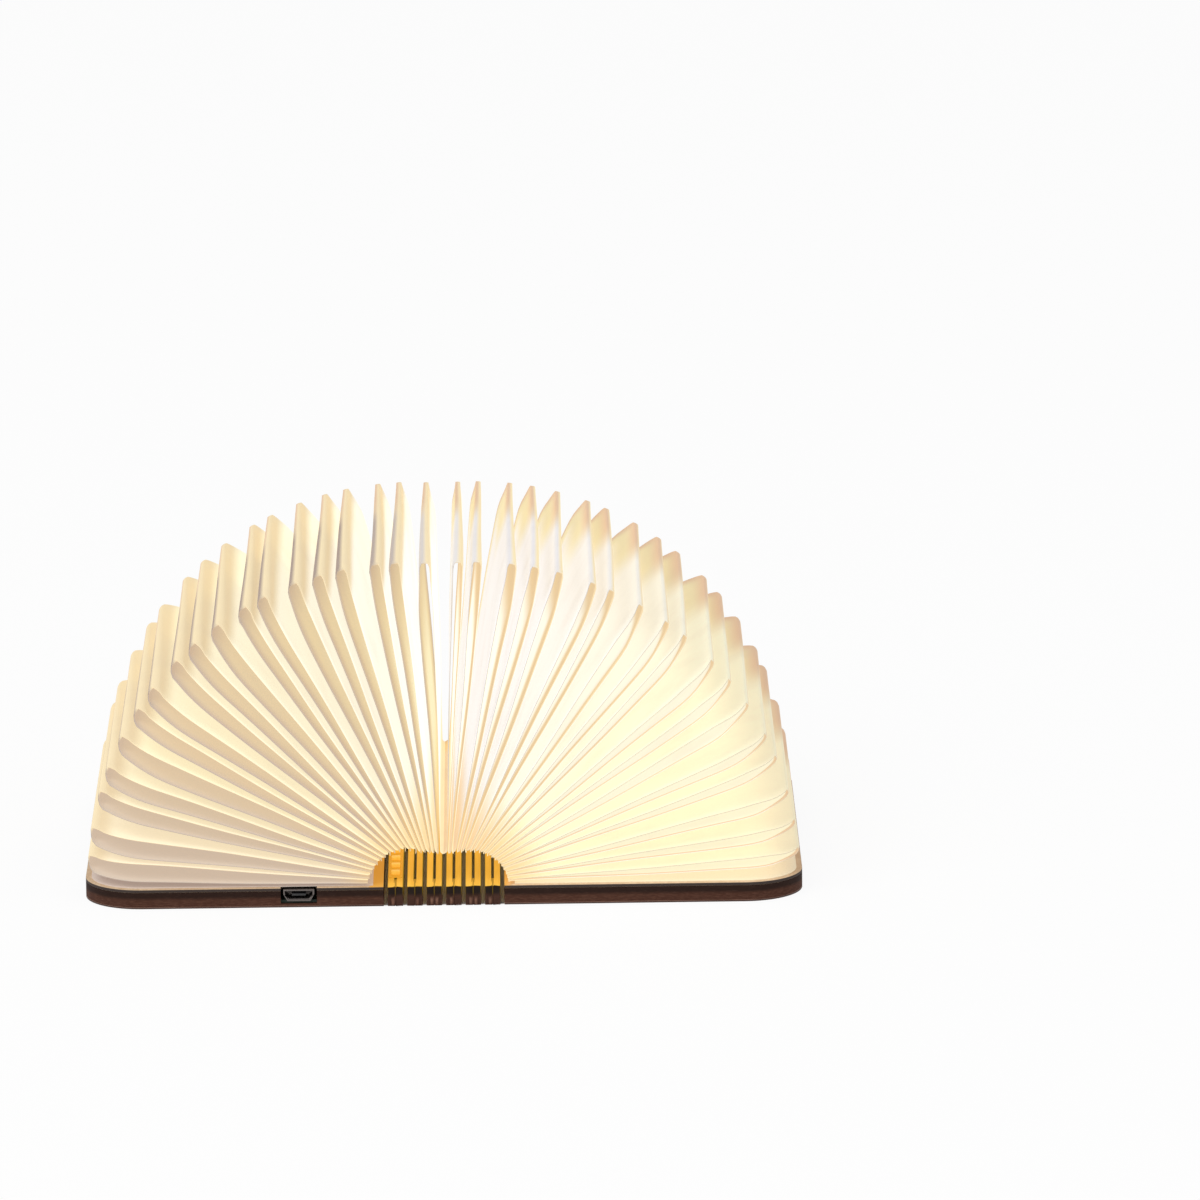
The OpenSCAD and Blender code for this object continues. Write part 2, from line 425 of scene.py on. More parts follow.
@dataclass(frozen=True)
class LiningFinish(Finish):
    """Tan lining card, burnt dark at its cut edge and lit gold where the tunnel lies."""

    tan: Colour = (0.66, 0.47, 0.29)
    pale_tan: Colour = (0.75, 0.57, 0.38)
    burnt: Colour = (0.030, 0.017, 0.013)
    warm: Colour = (0.55, 0.29, 0.05)
    gold: Colour = (0.85, 0.42, 0.05)
    glow_strength: float = 0.30
    lit_left: Span = (-0.0195, -0.0187)
    lit_right: Span = (0.0155, 0.0183)

    def paint(self, graph: Graph) -> None:
        """Even tan with faint fibres, dark sides and a lit strip next to the spine."""
        upright = graph.facing()[2]
        fibres = graph.noise(900.0, (1.0, 0.3, 1.0), 4.0, 0.6)
        face = graph.lay(graph.ease(fibres, 0.35, 0.7), self.tan, self.pale_tan)
        top = graph.ease(graph.math("ABSOLUTE", upright), 0.5, 0.9)
        x = graph.split(graph.place())[0]
        between = graph.times(graph.ease(x, *self.lit_left),
                              graph.one_less(graph.ease(x, *self.lit_right)))
        lit = graph.times(between, top)
        warm = graph.lay(lit, face, self.warm)
        graph.set(Base_Color=graph.lay(top, self.burnt, warm), Roughness=0.78,
                  Emission_Color=graph.lay(lit, BLACK, self.gold),
                  Emission_Strength=self.glow_strength)
        graph.bump(fibres, 0.00003, 0.5)


@dataclass(frozen=True)
class SlatFinish(Finish):
    """A slat of the spine: lit gold inside, burnt on its sides, walnut outside."""

    gold: Colour = (0.60, 0.35, 0.05)
    pale_gold: Colour = (0.78, 0.50, 0.10)
    char: Colour = (0.014, 0.008, 0.006)
    brown: Colour = (0.050, 0.021, 0.014)
    pale_brown: Colour = (0.068, 0.029, 0.019)
    walnut: Stops = ((0.35, (0.24, 0.11, 0.075)), (0.65, (0.50, 0.27, 0.19)))
    glow: Colour = (0.86, 0.47, 0.04)
    olive: Colour = (1.0, 0.62, 0.02)
    glow_strength: float = 0.34
    facing_range: Span = (0.6, 0.9)
    inner_z: Span = (0.0045, 0.0049)
    char_z: Span = (0.0023, 0.0035)
    wall_z: Span = (0.0022, 0.0036)

    def paint(self, graph: Graph) -> None:
        """Chooses among the faces by the way they look, and lights the tops of the cuts."""
        across, _, upright = graph.facing()
        z = graph.split(graph.place())[2]
        inner = graph.times(graph.ease(upright, *self.facing_range), graph.ease(z, *self.inner_z))
        outer = graph.ease(graph.times(upright, -1.0), *self.facing_range)
        grain = graph.noise(500.0, (1.0, 0.05, 1.0), 4.0, 0.6)
        lower = graph.lay(graph.ease(cut_marks(graph), 0.35, 0.75), self.brown, self.pale_brown)
        side = graph.lay(graph.ease(z, *self.char_z), lower, self.char)
        gold = graph.lay(graph.ease(grain, 0.3, 0.75), self.gold, self.pale_gold)
        wood = graph.ramp(grain, self.walnut)
        colour = graph.lay(outer, graph.lay(inner, side, gold), wood)
        wall = graph.times(graph.ease(graph.math("ABSOLUTE", across), *self.facing_range),
                           graph.ease(z, *self.wall_z))
        lit = graph.lay(inner, graph.lay(wall, BLACK, self.olive), self.glow)
        graph.set(Base_Color=colour, Roughness=0.75, Specular_IOR_Level=0.15,
                  Emission_Color=lit, Emission_Strength=self.glow_strength)
        graph.bump(grain, 0.00004, 0.6)


@dataclass(frozen=True)
class PaperFinish(Finish):
    """Tough white paper, lit by the strip on the left of the tunnel under the fan.

    The strip shines straight on the right-hand sheet of every pleat, and the left-hand sheet
    only glows. The mesh carries four numbers at each point: inside (1 on the inner face of
    its pleat), right_side (1 on the right-hand sheet), rim_mm (distance to the cut edge) and
    tip_mm (distance to the outer fold).
    """

    axis_z: float = 4.3 * MM
    base_share: float = 0.62
    root_reach: Span = (0.012, 0.030)
    # Painted golden glow of the strip near the roots of the pleats.
    root_tint: Colour = (0.90, 0.62, 0.22)
    root_share: float = 0.55
    fibre_tint: Colour = (0.70, 0.60, 0.46)
    fibre_share: float = 0.10
    cloud_tint: Colour = (0.62, 0.52, 0.40)
    cloud_share: float = 0.12
    left_in_glow: Colour = (0.48, 0.56, 0.64)
    right_in_glow: Colour = (0.60, 0.65, 0.74)
    left_out_glow: Colour = (0.40, 0.42, 0.46)
    right_out_glow: Colour = (0.64, 0.65, 0.64)
    # Painted light and shade: each ramp colours one face of the white paper by its place in the
    # fan.
    left_in: Stops = (
        (0.03, (0.64, 0.52, 0.42)), (0.15, (0.76, 0.61, 0.42)), (0.35, (0.80, 0.67, 0.43)),
        (0.50, (0.839, 0.701, 0.43)), (0.75, (0.90, 0.80, 0.55)))
    # Painted shade towards the cut edge of the left-hand inner face.
    left_in_rim: Stops = (
        (0.05, (0.66, 0.53, 0.42)), (0.22, (0.58, 0.44, 0.35)), (0.45, (0.60, 0.46, 0.33)))
    right_in: Stops = (
        (0.10, (0.95, 0.86, 0.64)), (0.50, (1.0, 0.97, 0.90)), (0.80, (1.0, 0.95, 0.74)),
        (0.97, (1.0, 0.93, 0.64)))
    # Painted shade at the cut edge of the right-hand inner face.
    right_in_rim: Stops = (
        (0.45, (0.78, 0.58, 0.33)), (0.70, (0.84, 0.64, 0.36)), (0.95, (0.80, 0.56, 0.33)))
    right_out: Stops = (
        (0.03, (0.95, 0.84, 0.62)), (0.15, (1.0, 0.922, 0.64)), (0.30, (1.0, 0.965, 0.78)),
        (0.45, (1.0, 0.985, 0.93)), (0.70, (0.96, 0.90, 0.80)))
    # Painted tan shade near the outer fold of the right-hand sheet.
    right_out_tip: Stops = (
        (0.45, (0.80, 0.66, 0.43)), (0.60, (0.88, 0.74, 0.46)), (0.95, (0.62, 0.46, 0.34)))
    tip_mm: Span = (2.5, 7.0)
    left_out: Stops = (
        (0.10, (0.50, 0.38, 0.30)), (0.40, (0.62, 0.50, 0.38)), (0.50, (0.855, 0.81, 0.76)),
        (0.60, (0.888, 0.85, 0.835)), (0.68, (0.95, 0.90, 0.81)), (0.80, (1.0, 0.95, 0.70)),
        (0.95, (1.0, 0.90, 0.62)))
    # Painted shade: a dark line along the ridge of the left-hand sheets, in the left half of the
    # fan.
    ridge_tint: Colour = (0.36, 0.27, 0.23)
    ridge_mm: Span = (0.5, 3.0)
    ridge_end: Span = (0.40, 0.52)
    back_y: Span = (0.0, 0.03)
    # Painted shade in tan and peach near the back corner of the left-hand sheet.
    tan: Colour = (0.90, 0.78, 0.48)
    tan_mm: Span = (5.0, 16.0)
    peach: Colour = (0.80, 0.55, 0.36)
    peach_mm: Span = (0.0, 5.0)

    def paint(self, graph: Graph) -> None:
        """Shades each of a pleat's four faces by its place in the fan."""
        share, reach = self.place_in_fan(graph)
        inside, right = graph.attribute("inside"), graph.attribute("right_side")
        lit = graph.lay(inside, self.outer_face(graph, share), self.inner_face(graph, share))
        # Painted golden glow from the strip, strongest at the pleats' roots.
        root = graph.one_less(graph.ease(reach, *self.root_reach))
        lit = graph.lay(graph.times(root, self.root_share), lit, self.root_tint)
        cloud = graph.noise(60.0, detail=3.0, rough=0.6)
        fibres = paper_fibres(graph)
        for pattern, span, tint, most in (
                (fibres, (0.45, 0.75), self.fibre_tint, self.fibre_share),
                (cloud, (0.40, 0.75), self.cloud_tint, self.cloud_share)):
            lit = graph.lay(graph.times(graph.ease(pattern, *span), most), lit, tint)
        inner_glow = graph.lay(right, self.left_in_glow, self.right_in_glow)
        outer_glow = graph.lay(right, self.left_out_glow, self.right_out_glow)
        level = graph.lay(inside, outer_glow, inner_glow)
        graph.set(Base_Color=graph.lay(self.base_share, BLACK, lit), Roughness=0.82,
                  Specular_IOR_Level=0.25, Emission_Strength=1.0,
                  Emission_Color=graph.lay(1.0, lit, level, Mix.DARKEN))

    def place_in_fan(self, graph: Graph) -> tuple[Socket, Socket]:
        """Where a point lies in the fan.

        Args:
            graph: The material's graph.

        Returns:
            Its share of the half turn from left to right, and its distance from the middle.
        """
        x, _, z = graph.split(graph.place())
        lift = graph.math("SUBTRACT", z, self.axis_z)
        turn = graph.math("ARCTAN2", lift, graph.times(x, -1.0))
        square = graph.plus(graph.times(x, x), graph.times(lift, lift))
        return graph.math("DIVIDE", turn, math.pi, clamp=True), graph.math("POWER", square, 0.5)

    def outer_face(self, graph: Graph, share: Feed) -> Socket:
        """A pleat's outside in painted light: the right-hand sheet bright with a shaded tan tip,
        the left-hand one pale.

        Args:
            graph: The material's graph.
            share: Place in the fan.

        Returns:
            The colour. The left-hand sheet has painted shade: a dark ridge, and a tan and peach
            back corner.
        """
        rim, tip = graph.attribute("rim_mm"), graph.attribute("tip_mm")
        # Painted tan shade towards the tip of the right-hand sheet.
        fade = graph.one_less(graph.ease(tip, *self.tip_mm))
        right = graph.lay(fade, graph.ramp(share, self.right_out),
                          graph.ramp(share, self.right_out_tip))
        # Painted dark shade along the ridge of the left-hand sheets.
        ridge = graph.times(graph.one_less(graph.ease(tip, *self.ridge_mm)),
                            graph.one_less(graph.ease(share, *self.ridge_end)))
        left = graph.lay(graph.times(ridge, 0.8), graph.ramp(share, self.left_out), self.ridge_tint)
        # Painted tan and peach shade at the back corner of the left-hand sheet.
        behind = graph.ease(graph.split(graph.place())[1], *self.back_y)
        for span, tint in ((self.tan_mm, self.tan), (self.peach_mm, self.peach)):
            corner = graph.times(behind, graph.one_less(graph.ease(rim, *span)))
            left = graph.lay(corner, left, tint)
        return graph.lay(graph.attribute("right_side"), left, right)

    def inner_face(self, graph: Graph, share: Feed) -> Socket:
        """A pleat's inside in painted light: tan on the left, bright on the right, shaded at the
        cut edge.

        Args:
            graph: The material's graph.
            share: Place in the fan.

        Returns:
            The colour.
        """
        from_end = graph.math("DIVIDE", graph.math("SUBTRACT", 0.85, share), 0.35, clamp=True)
        left_mm = graph.plus(6.0, graph.times(200.0, graph.math("POWER", share, 3.0)))
        right_mm = graph.plus(1.5, graph.times(45.0, graph.math("POWER", from_end, 2.2)))
        # Painted shade that darkens each inner face towards its cut edge.
        left_near, right_near = (
            graph.one_less(graph.math("DIVIDE", graph.attribute("rim_mm"), reach_mm, clamp=True))
            for reach_mm in (left_mm, right_mm))
        left = graph.lay(graph.math("POWER", left_near, 1.8), graph.ramp(share, self.left_in),
                         graph.ramp(share, self.left_in_rim))
        right = graph.lay(graph.ease(right_near, 0.15, 0.65), graph.ramp(share, self.right_in),
                          graph.ramp(share, self.right_in_rim))
        return graph.lay(graph.attribute("right_side"), left, right)


@dataclass(frozen=True)
class EndSheetFinish(Finish):
    """An end sheet of the paper, pasted on a cover and lit from the spine."""

    lit: Colour
    base_share: float = 0.7
    glow_share: float = 0.30

    def paint(self, graph: Graph) -> None:
        """Even paper with faint fibres."""
        fibres = paper_fibres(graph)
        pale = tuple(part * self.base_share for part in self.lit)
        fibre = tuple(part * 0.85 for part in pale)
        graph.set(Base_Color=graph.lay(graph.ease(fibres, 0.45, 0.75), pale, fibre),
                  Roughness=0.82, Emission_Color=self.lit, Emission_Strength=self.glow_share)


@dataclass(frozen=True)
class MetalFinish(Finish):
    """Bare or plated metal with fine brush marks."""

    colour: Colour
    rough: float
    brush: Sequence[float] = (1.0, 1.0, 1.0)

    def paint(self, graph: Graph) -> None:
        """Fine marks in the colour and the gloss."""
        marks = graph.noise(2500.0, self.brush, 3.0, 0.6)
        worn = tuple(part * 0.8 for part in self.colour)
        graph.set(Base_Color=graph.lay(graph.ease(marks, 0.3, 0.8), self.colour, worn),
                  Metallic=1.0, Roughness=graph.ease(marks, -self.rough * 3.0, 2.4))
        graph.bump(marks, 0.00001, 0.4)


@dataclass(frozen=True)
class MouldedFinish(Finish):
    """Moulded or coated plastic with a fine grain."""

    colour: Colour
    rough: float
    grain: float = 2200.0
    glow: Colour = BLACK
    glow_strength: float = 0.0
    specular: float = 0.5

    def paint(self, graph: Graph) -> None:
        """A slight mottle and relief."""
        grain = graph.noise(self.grain, detail=4.0, rough=0.6)
        paler = tuple(min(1.0, part * 1.25 + 0.01) for part in self.colour)
        graph.set(Base_Color=graph.lay(graph.ease(grain, 0.35, 0.7), self.colour, paler),
                  Roughness=self.rough, Specular_IOR_Level=self.specular,
                  Emission_Color=self.glow, Emission_Strength=self.glow_strength)
        graph.bump(grain, 0.00002, 0.5)


WALNUT = WalnutFinish("walnut_veneer", "walnut")
BURNT = BurntBoardFinish("burnt_board_edge", "burnt_board")
LINING = LiningFinish("tan_lining_card", "lining")
SLAT = SlatFinish("lattice_slat", "burnt_board")
PAPER = PaperFinish("lit_paper", "paper")
# The two end sheets are one paper; their two colours are painted light, the left one darker.
LEFT_END = EndSheetFinish("left_end_paper", "paper", (0.73, 0.61, 0.53))
RIGHT_END = EndSheetFinish("right_end_paper", "paper", (0.956, 0.839, 0.61))
INLET_STEEL = MetalFinish("inlet_plate", "inlet_steel", (0.16, 0.14, 0.13), 0.45, (1.0, 0.1, 1.0))
NICKEL = MetalFinish("magnet_nickel", "magnet", (0.76, 0.75, 0.72), 0.18)
POUCH = MetalFinish("pouch_foil", "battery_foil", (0.60, 0.61, 0.63), 0.35, (0.3, 1.0, 1.0))
INLET_PLASTIC = MouldedFinish("tongue_plastic", "inlet_plastic", (0.015, 0.015, 0.016), 0.45)
CHIP = MouldedFinish("chip_body", "chip", (0.02, 0.02, 0.022), 0.55)
BOARD_GREEN = MouldedFinish("board_mask", "board_green", (0.002, 0.013, 0.006), 0.6, 1200.0)
LEAD_RED = MouldedFinish("lead_red", "lead", (0.50, 0.02, 0.02), 0.5)
FILM = MouldedFinish("lit_film", "strip_film", (0.62, 0.36, 0.05), 0.5,
                     glow=(0.90, 0.46, 0.03), glow_strength=0.26, specular=0.05)
LED_LENS = MouldedFinish("led_lens", "led", (0.72, 0.46, 0.10), 0.35,
                         glow=(1.0, 0.58, 0.07), glow_strength=0.40, specular=0.2)


# Mesh helpers


def link_piece(bm: Mesh, name: str, finish: Finish, crease_deg: float = 35.0
               ) -> bpy.types.Object:
    """Turns a bmesh into a dressed object.

    Args:
        bm: The mesh, which is freed.
        name: The piece's name.
        finish: Its finish.
        crease_deg: Angle over which an edge stays sharp.

    Returns:
        The new object, at the origin.
    """
    mesh = bpy.data.meshes.new(name)
    bm.to_mesh(mesh)
    bm.free()
    for face in mesh.polygons:
        face.use_smooth = True
    mesh.set_sharp_from_angle(angle=math.radians(crease_deg))
    mesh.materials.append(finish.material())
    piece = bpy.data.objects.new(name, mesh)
    bpy.context.scene.collection.objects.link(piece)
    return piece


def ease_edges(bm: Mesh, width: float, segments: int = 2, above_deg: float = 35.0
               ) -> None:
    """Rounds every edge that is sharper than an angle.

    Args:
        bm: The mesh to change.
        width: Width of the rounding.
        segments: Faces across it.
        above_deg: Smallest angle that counts as sharp.
    """
    limit = math.radians(above_deg)
    sharp = [e for e in bm.edges if e.is_manifold and e.calc_face_angle(0.0) > limit]
    bmesh.ops.bevel(bm, geom=sharp, offset=width, offset_type="OFFSET", affect="EDGES",
                    segments=segments, profile=0.5, material=-1, clamp_overlap=True)


def eased_copy(node: str, finish: Finish, width: float, segments: int = 2) -> bpy.types.Object:
    """A copy of a CAD node with merged faces and rounded edges, which then stands for it.

    Args:
        node: The CAD node.
        finish: The copy's finish.
        width: Width of the rounding.
        segments: Faces across it.

    Returns:
        The copy, riding on the node's body.
    """
    source = frame["nodes"][node]
    bm = bmesh.new()
    bm.from_mesh(source.data)
    bmesh.ops.remove_doubles(bm, verts=bm.verts, dist=1e-6)
    bmesh.ops.dissolve_limit(bm, angle_limit=math.radians(1.0), verts=bm.verts, edges=bm.edges)
    ease_edges(bm, width, segments)
    piece = link_piece(bm, f"{node}_eased", finish)
    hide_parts(node)
    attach(piece, source["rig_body"])
    LOG.info("%s stands for %s", piece.name, node)
    return piece


def box_piece(bm: Mesh, low: Sequence[float], high: Sequence[float]
              ) -> list[bmesh.types.BMVert]:
    """Adds a block between two corners.

    Args:
        bm: The mesh to add to.
        low: Lowest corner.
        high: Highest corner.

    Returns:
        Its vertices.
    """
    made = bmesh.ops.create_cube(bm, size=1.0)["verts"]
    size = [b - a for a, b in zip(low, high)]
    middle = [(a + b) / 2 for a, b in zip(low, high)]
    bmesh.ops.scale(bm, vec=size, verts=made)
    bmesh.ops.translate(bm, vec=middle, verts=made)
    return made


# Sizes read from the frame


@dataclass(frozen=True)
class BookSizes:
    """The book's main sizes, in metres."""

    cover_top: float
    half_depth: float
    fold_x: Sequence[float]
    half_gap: float

    @classmethod
    def from_frame(cls) -> "BookSizes":
        """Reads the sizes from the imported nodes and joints.

        Returns:
            The sizes. The seventh cut has no joint, so it mirrors the first.
        """
        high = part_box("right_cover_liner")[1]
        fold_x = sorted(joint["pos_m"][0] for joint in frame["joints"]
                        if joint["name"].startswith("spine_fold"))
        fold_x.append(-fold_x[0])
        return cls(high.z, high.y, fold_x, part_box("spine_slat_1")[0].x - fold_x[0])


SIZES = BookSizes.from_frame()
LAYERS = ("rim_mm", "tip_mm", "right_side", "inside")


# Paper


@dataclass
class PleatPlane:
    """Where one pleat stands in the open fan, read from its flat plate in the frame."""

    number: int
    base: Vector = field(init=False)
    along: Vector = field(init=False)
    across: Vector = field(init=False)
    root: float = field(init=False)
    tip: float = field(init=False)
    half_depth: float = field(init=False)
    low_back: float = 3.0 * MM
    low_count: int = 13
    middle_back: float = 1.2 * MM
    middle_span: int = 4
    middle: float = 18.5

    def __post_init__(self) -> None:
        """Finds the plate's middle plane, its reach and its depth."""
        turn = self.open_angle()
        self.along = Vector((-math.cos(turn), 0.0, math.sin(turn)))
        self.across = Vector((math.sin(turn), 0.0, math.cos(turn)))
        pole = Vector(self.joint()["pos_m"])
        points = [v.co - pole for v in frame["nodes"][self.node].data.vertices]
        heights = [p.dot(self.across) for p in points]
        reaches = [p.dot(self.along) for p in points]
        self.base = pole + self.across * (min(heights) + max(heights)) / 2
        self.root = min(reaches) + self.set_back()
        self.tip = max(reaches)
        self.half_depth = max(p.y for p in points)

    @property
    def node(self) -> str:
        """Name of the pleat's CAD node."""
        return f"paper_leaf_{self.number:02d}"

    @property
    def body(self) -> str:
        """Name of the body that the pleat rides on."""
        return f"leaf_{self.number:02d}"

    def set_back(self) -> float:
        """How far the pleat stands back: the lowest ones on the left, and those in the middle."""
        low = self.low_back * max(0.0, 1 - self.number / self.low_count) ** 0.6
        off_middle = abs(self.number - self.middle) / self.middle_span
        return low + self.middle_back * max(0.0, 1 - off_middle)

    def joint(self) -> dict:
        """The joint that turns the pleat."""
        wanted = f"leaf_turn_{self.number:02d}"
        return next(j for j in frame["joints"] if j["name"] == wanted)

    def open_angle(self) -> float:
        """The pleat's angle over the left cover when the book is open."""
        low, high = (math.radians(v) for v in self.joint()["range_deg"])
        return high if high > 0 else math.pi + low

    def point(self, reach: float, y: float, offset: float) -> Vector:
        """A point of the pleat in the row frame.

        Args:
            reach: Distance from the fold line along the pleat.
            y: Place from front to back.
            offset: Distance from the pleat's middle plane.

        Returns:
            The point.
        """
        return self.base + self.along * reach + self.across * offset + Vector((0.0, y, 0.0))


@dataclass
class PaperFan:
    """The pleated paper block: 36 open pleats and the end sheets pasted on the covers."""

    count: int = 36
    sheet_t: float = 0.22 * MM
    open_left: float = 0.84
    open_right: float = 0.44
    core: float = 4.3 * MM
    nose_half: float = 2.9 * MM
    nose_l: float = 16.5 * MM
    narrow_l: float = 1.5 * MM
    fold_front_r: float = 2.3 * MM
    fold_back_r: float = 0.65 * MM
    fold_right_r: float = 0.75 * MM
    corner_r: float = 14.5 * MM
    corner_rows: int = 9
    straight_rows: int = 12
    lip_l: float = 1.0 * MM
    wave: float = 0.32 * MM
    wave_turns: float = 2.1
    end_wave_per_m: float = 38.0
    seed_step: float = 2.39996
    slit_from: float = 0.4 * MM
    meet_power: float = 6.0
    end_sheet_edge: float = 0.05 * MM
    crease_deg: float = 50.0
    shut_share: float = 0.07
    planes: list[PleatPlane] = field(default_factory=list)

    def build(self) -> None:
        """Makes every pleat and dresses the end sheets."""
        self.planes = [PleatPlane(i) for i in range(1, self.count + 1)]
        for index, plane in enumerate(self.planes):
            self.make_pleat(plane, self.root_gap(index - 1), self.root_gap(index))
        for side, finish in ((Side.LEFT, LEFT_END), (Side.RIGHT, RIGHT_END)):
            eased_copy(f"{side.word}_end_sheet", finish, self.end_sheet_edge, 1)

    def root_gap(self, index: int) -> float:
        """Half the distance between two neighbours' inner edges.

        Args:
            index: Place of the first of the two in the list of planes.

        Returns:
            Half the gap, or a plain value past the ends of the fan.
        """
        if index < 0 or index + 1 >= len(self.planes):
            return self.planes[0].root * math.pi / self.count / 2
        first, second = self.planes[index], self.planes[index + 1]
        return (second.point(second.root, 0, 0) - first.point(first.root, 0, 0)).length / 2

    def pitch(self, index: int) -> float:
        """The room a pleat has to open in.

        Args:
            index: Its place in the list of planes.

        Returns:
            The smaller of the angles to its two neighbours.
        """
        turns = [plane.open_angle() for plane in self.planes]
        near = turns[max(0, index - 1):index + 2]
        return min(b - a for a, b in zip(near, near[1:]))

    def row(self, place: float, plane: PleatPlane) -> tuple[float, float]:
        """Where one row of the grid runs.

        Args:
            place: From -1 at the front edge to 1 at the back edge.
            plane: The pleat.

        Returns:
            The row's y, and how far the paper reaches there.
        """
        corner_share = self.corner_rows / (self.corner_rows + self.straight_rows / 2)
        straight = plane.half_depth - self.corner_r
        size = abs(place)
        bend = max(0.0, (size - (1 - corner_share)) / corner_share) * math.pi / 2
        y = straight * min(1.0, size / (1 - corner_share)) + self.corner_r * math.sin(bend)
        reach = plane.tip - self.corner_r * (1 - math.cos(bend))
        return math.copysign(y, place), reach

    def fold_radius(self, y: float, plane: PleatPlane) -> float:
        """Radius of the rounded outer fold, which springs open at the front edge on the left.

        Args:
            y: Place from front to back.
            plane: The pleat.

        Returns:
            The radius.
        """
        share = min(1.0, max(0.0, 0.5 + 0.5 * y / (plane.half_depth - self.corner_r)))
        across = min(1.0, max(0.0, 1.6 * plane.number / self.count - 0.3))
        front = self.fold_front_r + (self.fold_right_r - self.fold_front_r) * across
        return front + (self.fold_back_r - front) * share

    def half_width(self, reach: float, y: float, plane: PleatPlane) -> float:
        """Half the pleat's opening: a share of the room it has, and narrower at its fold.

        Args:
            reach: Distance from the fold line along the pleat.
            y: Place from front to back.
            plane: The pleat.

        Returns:
            The half width.
        """
        left = plane.tip - reach
        fold_r = self.fold_radius(y, plane)
        if left < fold_r:
            return math.sqrt(max(0.0, fold_r ** 2 - (fold_r - left) ** 2))
        share = plane.number / self.count
        opening = self.open_left + (self.open_right - self.open_left) * share
        room = (reach + self.core) * self.pitch(plane.number - 1) / 2 * opening
        rise = min(1.0, max(0.0, (left - self.narrow_l) / (self.nose_l - self.narrow_l)))
        nose = fold_r + (self.nose_half - fold_r) * rise * rise * (3 - 2 * rise)
        power = self.meet_power
        return (room ** -power + nose ** -power) ** (-1 / power)

    def sway(self, reach: float, y: float, plane: PleatPlane) -> float:
        """The paper's own slight waves, which differ from pleat to pleat.

        Args:
            reach: Distance from the fold line along the pleat.
            y: Place from front to back.
            plane: The pleat.

        Returns:
            How far the paper lies off the pleat's middle plane.
        """
        seed = plane.number * self.seed_step
        share = (reach - plane.root) / (plane.tip - plane.root)
        long_wave = (math.sin(self.wave_turns * share * math.pi + seed)
                     * math.sin(math.pi * min(1.0, share)))
        end_wave = math.sin(y * self.end_wave_per_m + seed * 1.7) * share
        return self.wave * (0.6 * long_wave + 0.6 * end_wave)

    def stations(self, length: float) -> list[tuple[float, float]]:
        """Where the columns of the grid lie.

        Args:
            length: The pleat's length from root to tip.

        Returns:
            Shares of the length from root to tip, each with its share of the root's lip.
        """
        marks = (0.0, self.lip_l, length - self.nose_l, length - self.fold_front_r)
        places = [0.0]
        for low, high, steps in zip(marks, marks[1:], (3, 6, 7)):
            places += [low + (high - low) * k / steps for k in range(1, steps + 1)]
        turns = [math.radians(15 * k) for k in range(1, 7)]
        places += [length - self.fold_front_r * (1 - math.sin(turn)) for turn in turns]
        return [(p / length, max(0.0, 1 - p / self.lip_l) ** 2) for p in places]

    def make_pleat(self, plane: PleatPlane, gap_before: float, gap_after: float) -> None:
        """Makes one pleat: two sheets joined at the tip, rounded at both corners.

        Args:
            plane: Where it stands.
            gap_before: Half the gap to the pleat before it.
            gap_after: Half the gap to the pleat after it.
        """
        stations = self.stations(plane.tip - plane.root)
        last = len(stations) - 1
        rows = 2 * self.corner_rows + self.straight_rows
        bm = bmesh.new()
        bmesh.ops.create_grid(bm, x_segments=2 * last, y_segments=rows, size=1.0)
        rim, tip, right, inside = (bm.verts.layers.float.new(name) for name in LAYERS)
        slit_verts = set()
        for vert in bm.verts:
            column = round((vert.co.x + 1) * last) - last
            y, reach_end = self.row(vert.co.y, plane)
            step = last - abs(column)
            share, lip = stations[step]
            open_corner = plane.tip - reach_end > self.slit_from
            if open_corner and abs(column) == 1:
                share = 1.0
            if open_corner and column == 0:
                slit_verts.add(vert)
            reach = plane.root + (reach_end - plane.root) * share
            side = math.copysign(1.0, column) if column else 0.0
            gap = gap_after if side > 0 else gap_before
            half = self.half_width(reach, y, plane) if column else 0.0
            half += (gap - half) * lip
            vert[rim] = self.rim_distance(reach, y, plane) / MM
            vert[tip] = min(30.0, (plane.tip - reach) / MM)
            vert[right] = (side + 1) / 2
            vert.co = plane.point(reach, y, side * half + self.sway(reach, y, plane))
        bmesh.ops.delete(bm, geom=list(slit_verts), context="VERTS")
        bmesh.ops.recalc_face_normals(bm, faces=bm.faces)
        self.face_outwards(bm, plane)
        before = set(bm.verts)
        bmesh.ops.solidify(bm, geom=bm.faces[:], thickness=self.sheet_t)
        for vert in bm.verts:
            vert[inside] = 0.0 if vert in before else 1.0
        self.settle_sides(bm, plane, inside)
        bmesh.ops.recalc_face_normals(bm, faces=bm.faces)
        piece = link_piece(bm, f"pleat_{plane.number:02d}", PAPER, self.crease_deg)
        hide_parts(plane.node)
        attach(piece, plane.body)
        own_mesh(piece)
        LOG.info("%s rides on %s", piece.name, plane.body)

    def rim_distance(self, reach: float, y: float, plane: PleatPlane) -> float:
        """Distance to the nearest cut or folded outer edge.

        Args:
            reach: Distance from the fold line along the pleat.
            y: Place from front to back.
            plane: The pleat.

        Returns:
            The distance, which is never negative.
        """
        straight = min(plane.half_depth - abs(y), plane.tip - reach)
        over_y = abs(y) - (plane.half_depth - self.corner_r)
        over_reach = reach - (plane.tip - self.corner_r)
        if over_y > 0 and over_reach > 0:
            straight = self.corner_r - math.hypot(over_y, over_reach)
        return max(0.0, straight)

